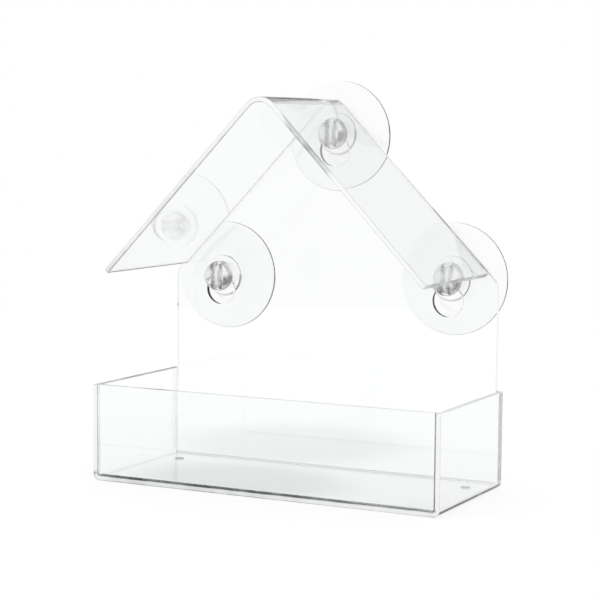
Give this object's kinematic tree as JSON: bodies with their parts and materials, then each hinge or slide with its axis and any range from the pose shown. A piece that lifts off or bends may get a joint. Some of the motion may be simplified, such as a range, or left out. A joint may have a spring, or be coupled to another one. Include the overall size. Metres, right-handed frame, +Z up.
{
  "type": "bird feeder",
  "caption": "Clear window bird feeder: open tray of bent sheet, gabled back panel and pitched roof, held on a pane by suction cups that slide in keyholes.",
  "frame": {"origin": "middle of the bounding box's floor, on the surface that the tray stands on", "axes": "+Z up, +X to the right seen from the open front, +Y towards the window pane behind the suction cups"},
  "size_m": [0.15, 0.0706, 0.1606],
  "materials": {
    "acrylic": "clear cast acrylic sheet with polished edges",
    "vinyl": "clear soft PVC, slightly cloudy where it is thick"
  },
  "bodies": {
    "feeder": {"back_panel": "acrylic", "roof": "acrylic", "tray_base": "acrylic", "front_panel": "acrylic"},
    "cup_left": {"suction_cup_left": "vinyl"},
    "cup_right": {"suction_cup_right": "vinyl"},
    "cup_top": {"suction_cup_top": "vinyl"}
  },
  "joints": [
    {"name": "cup_left_slide", "type": "slide", "parent": "feeder", "child": "cup_left", "axis": [0, 0, 1], "range_m": [-0.00557, 0.00278]},
    {"name": "cup_right_slide", "type": "slide", "parent": "feeder", "child": "cup_right", "axis": [0, 0, 1], "range_m": [-0.00835, 0]},
    {"name": "cup_top_slide", "type": "slide", "parent": "feeder", "child": "cup_top", "axis": [0, 0, 1], "range_m": [-0.00685, 0.0015]}
  ]
}
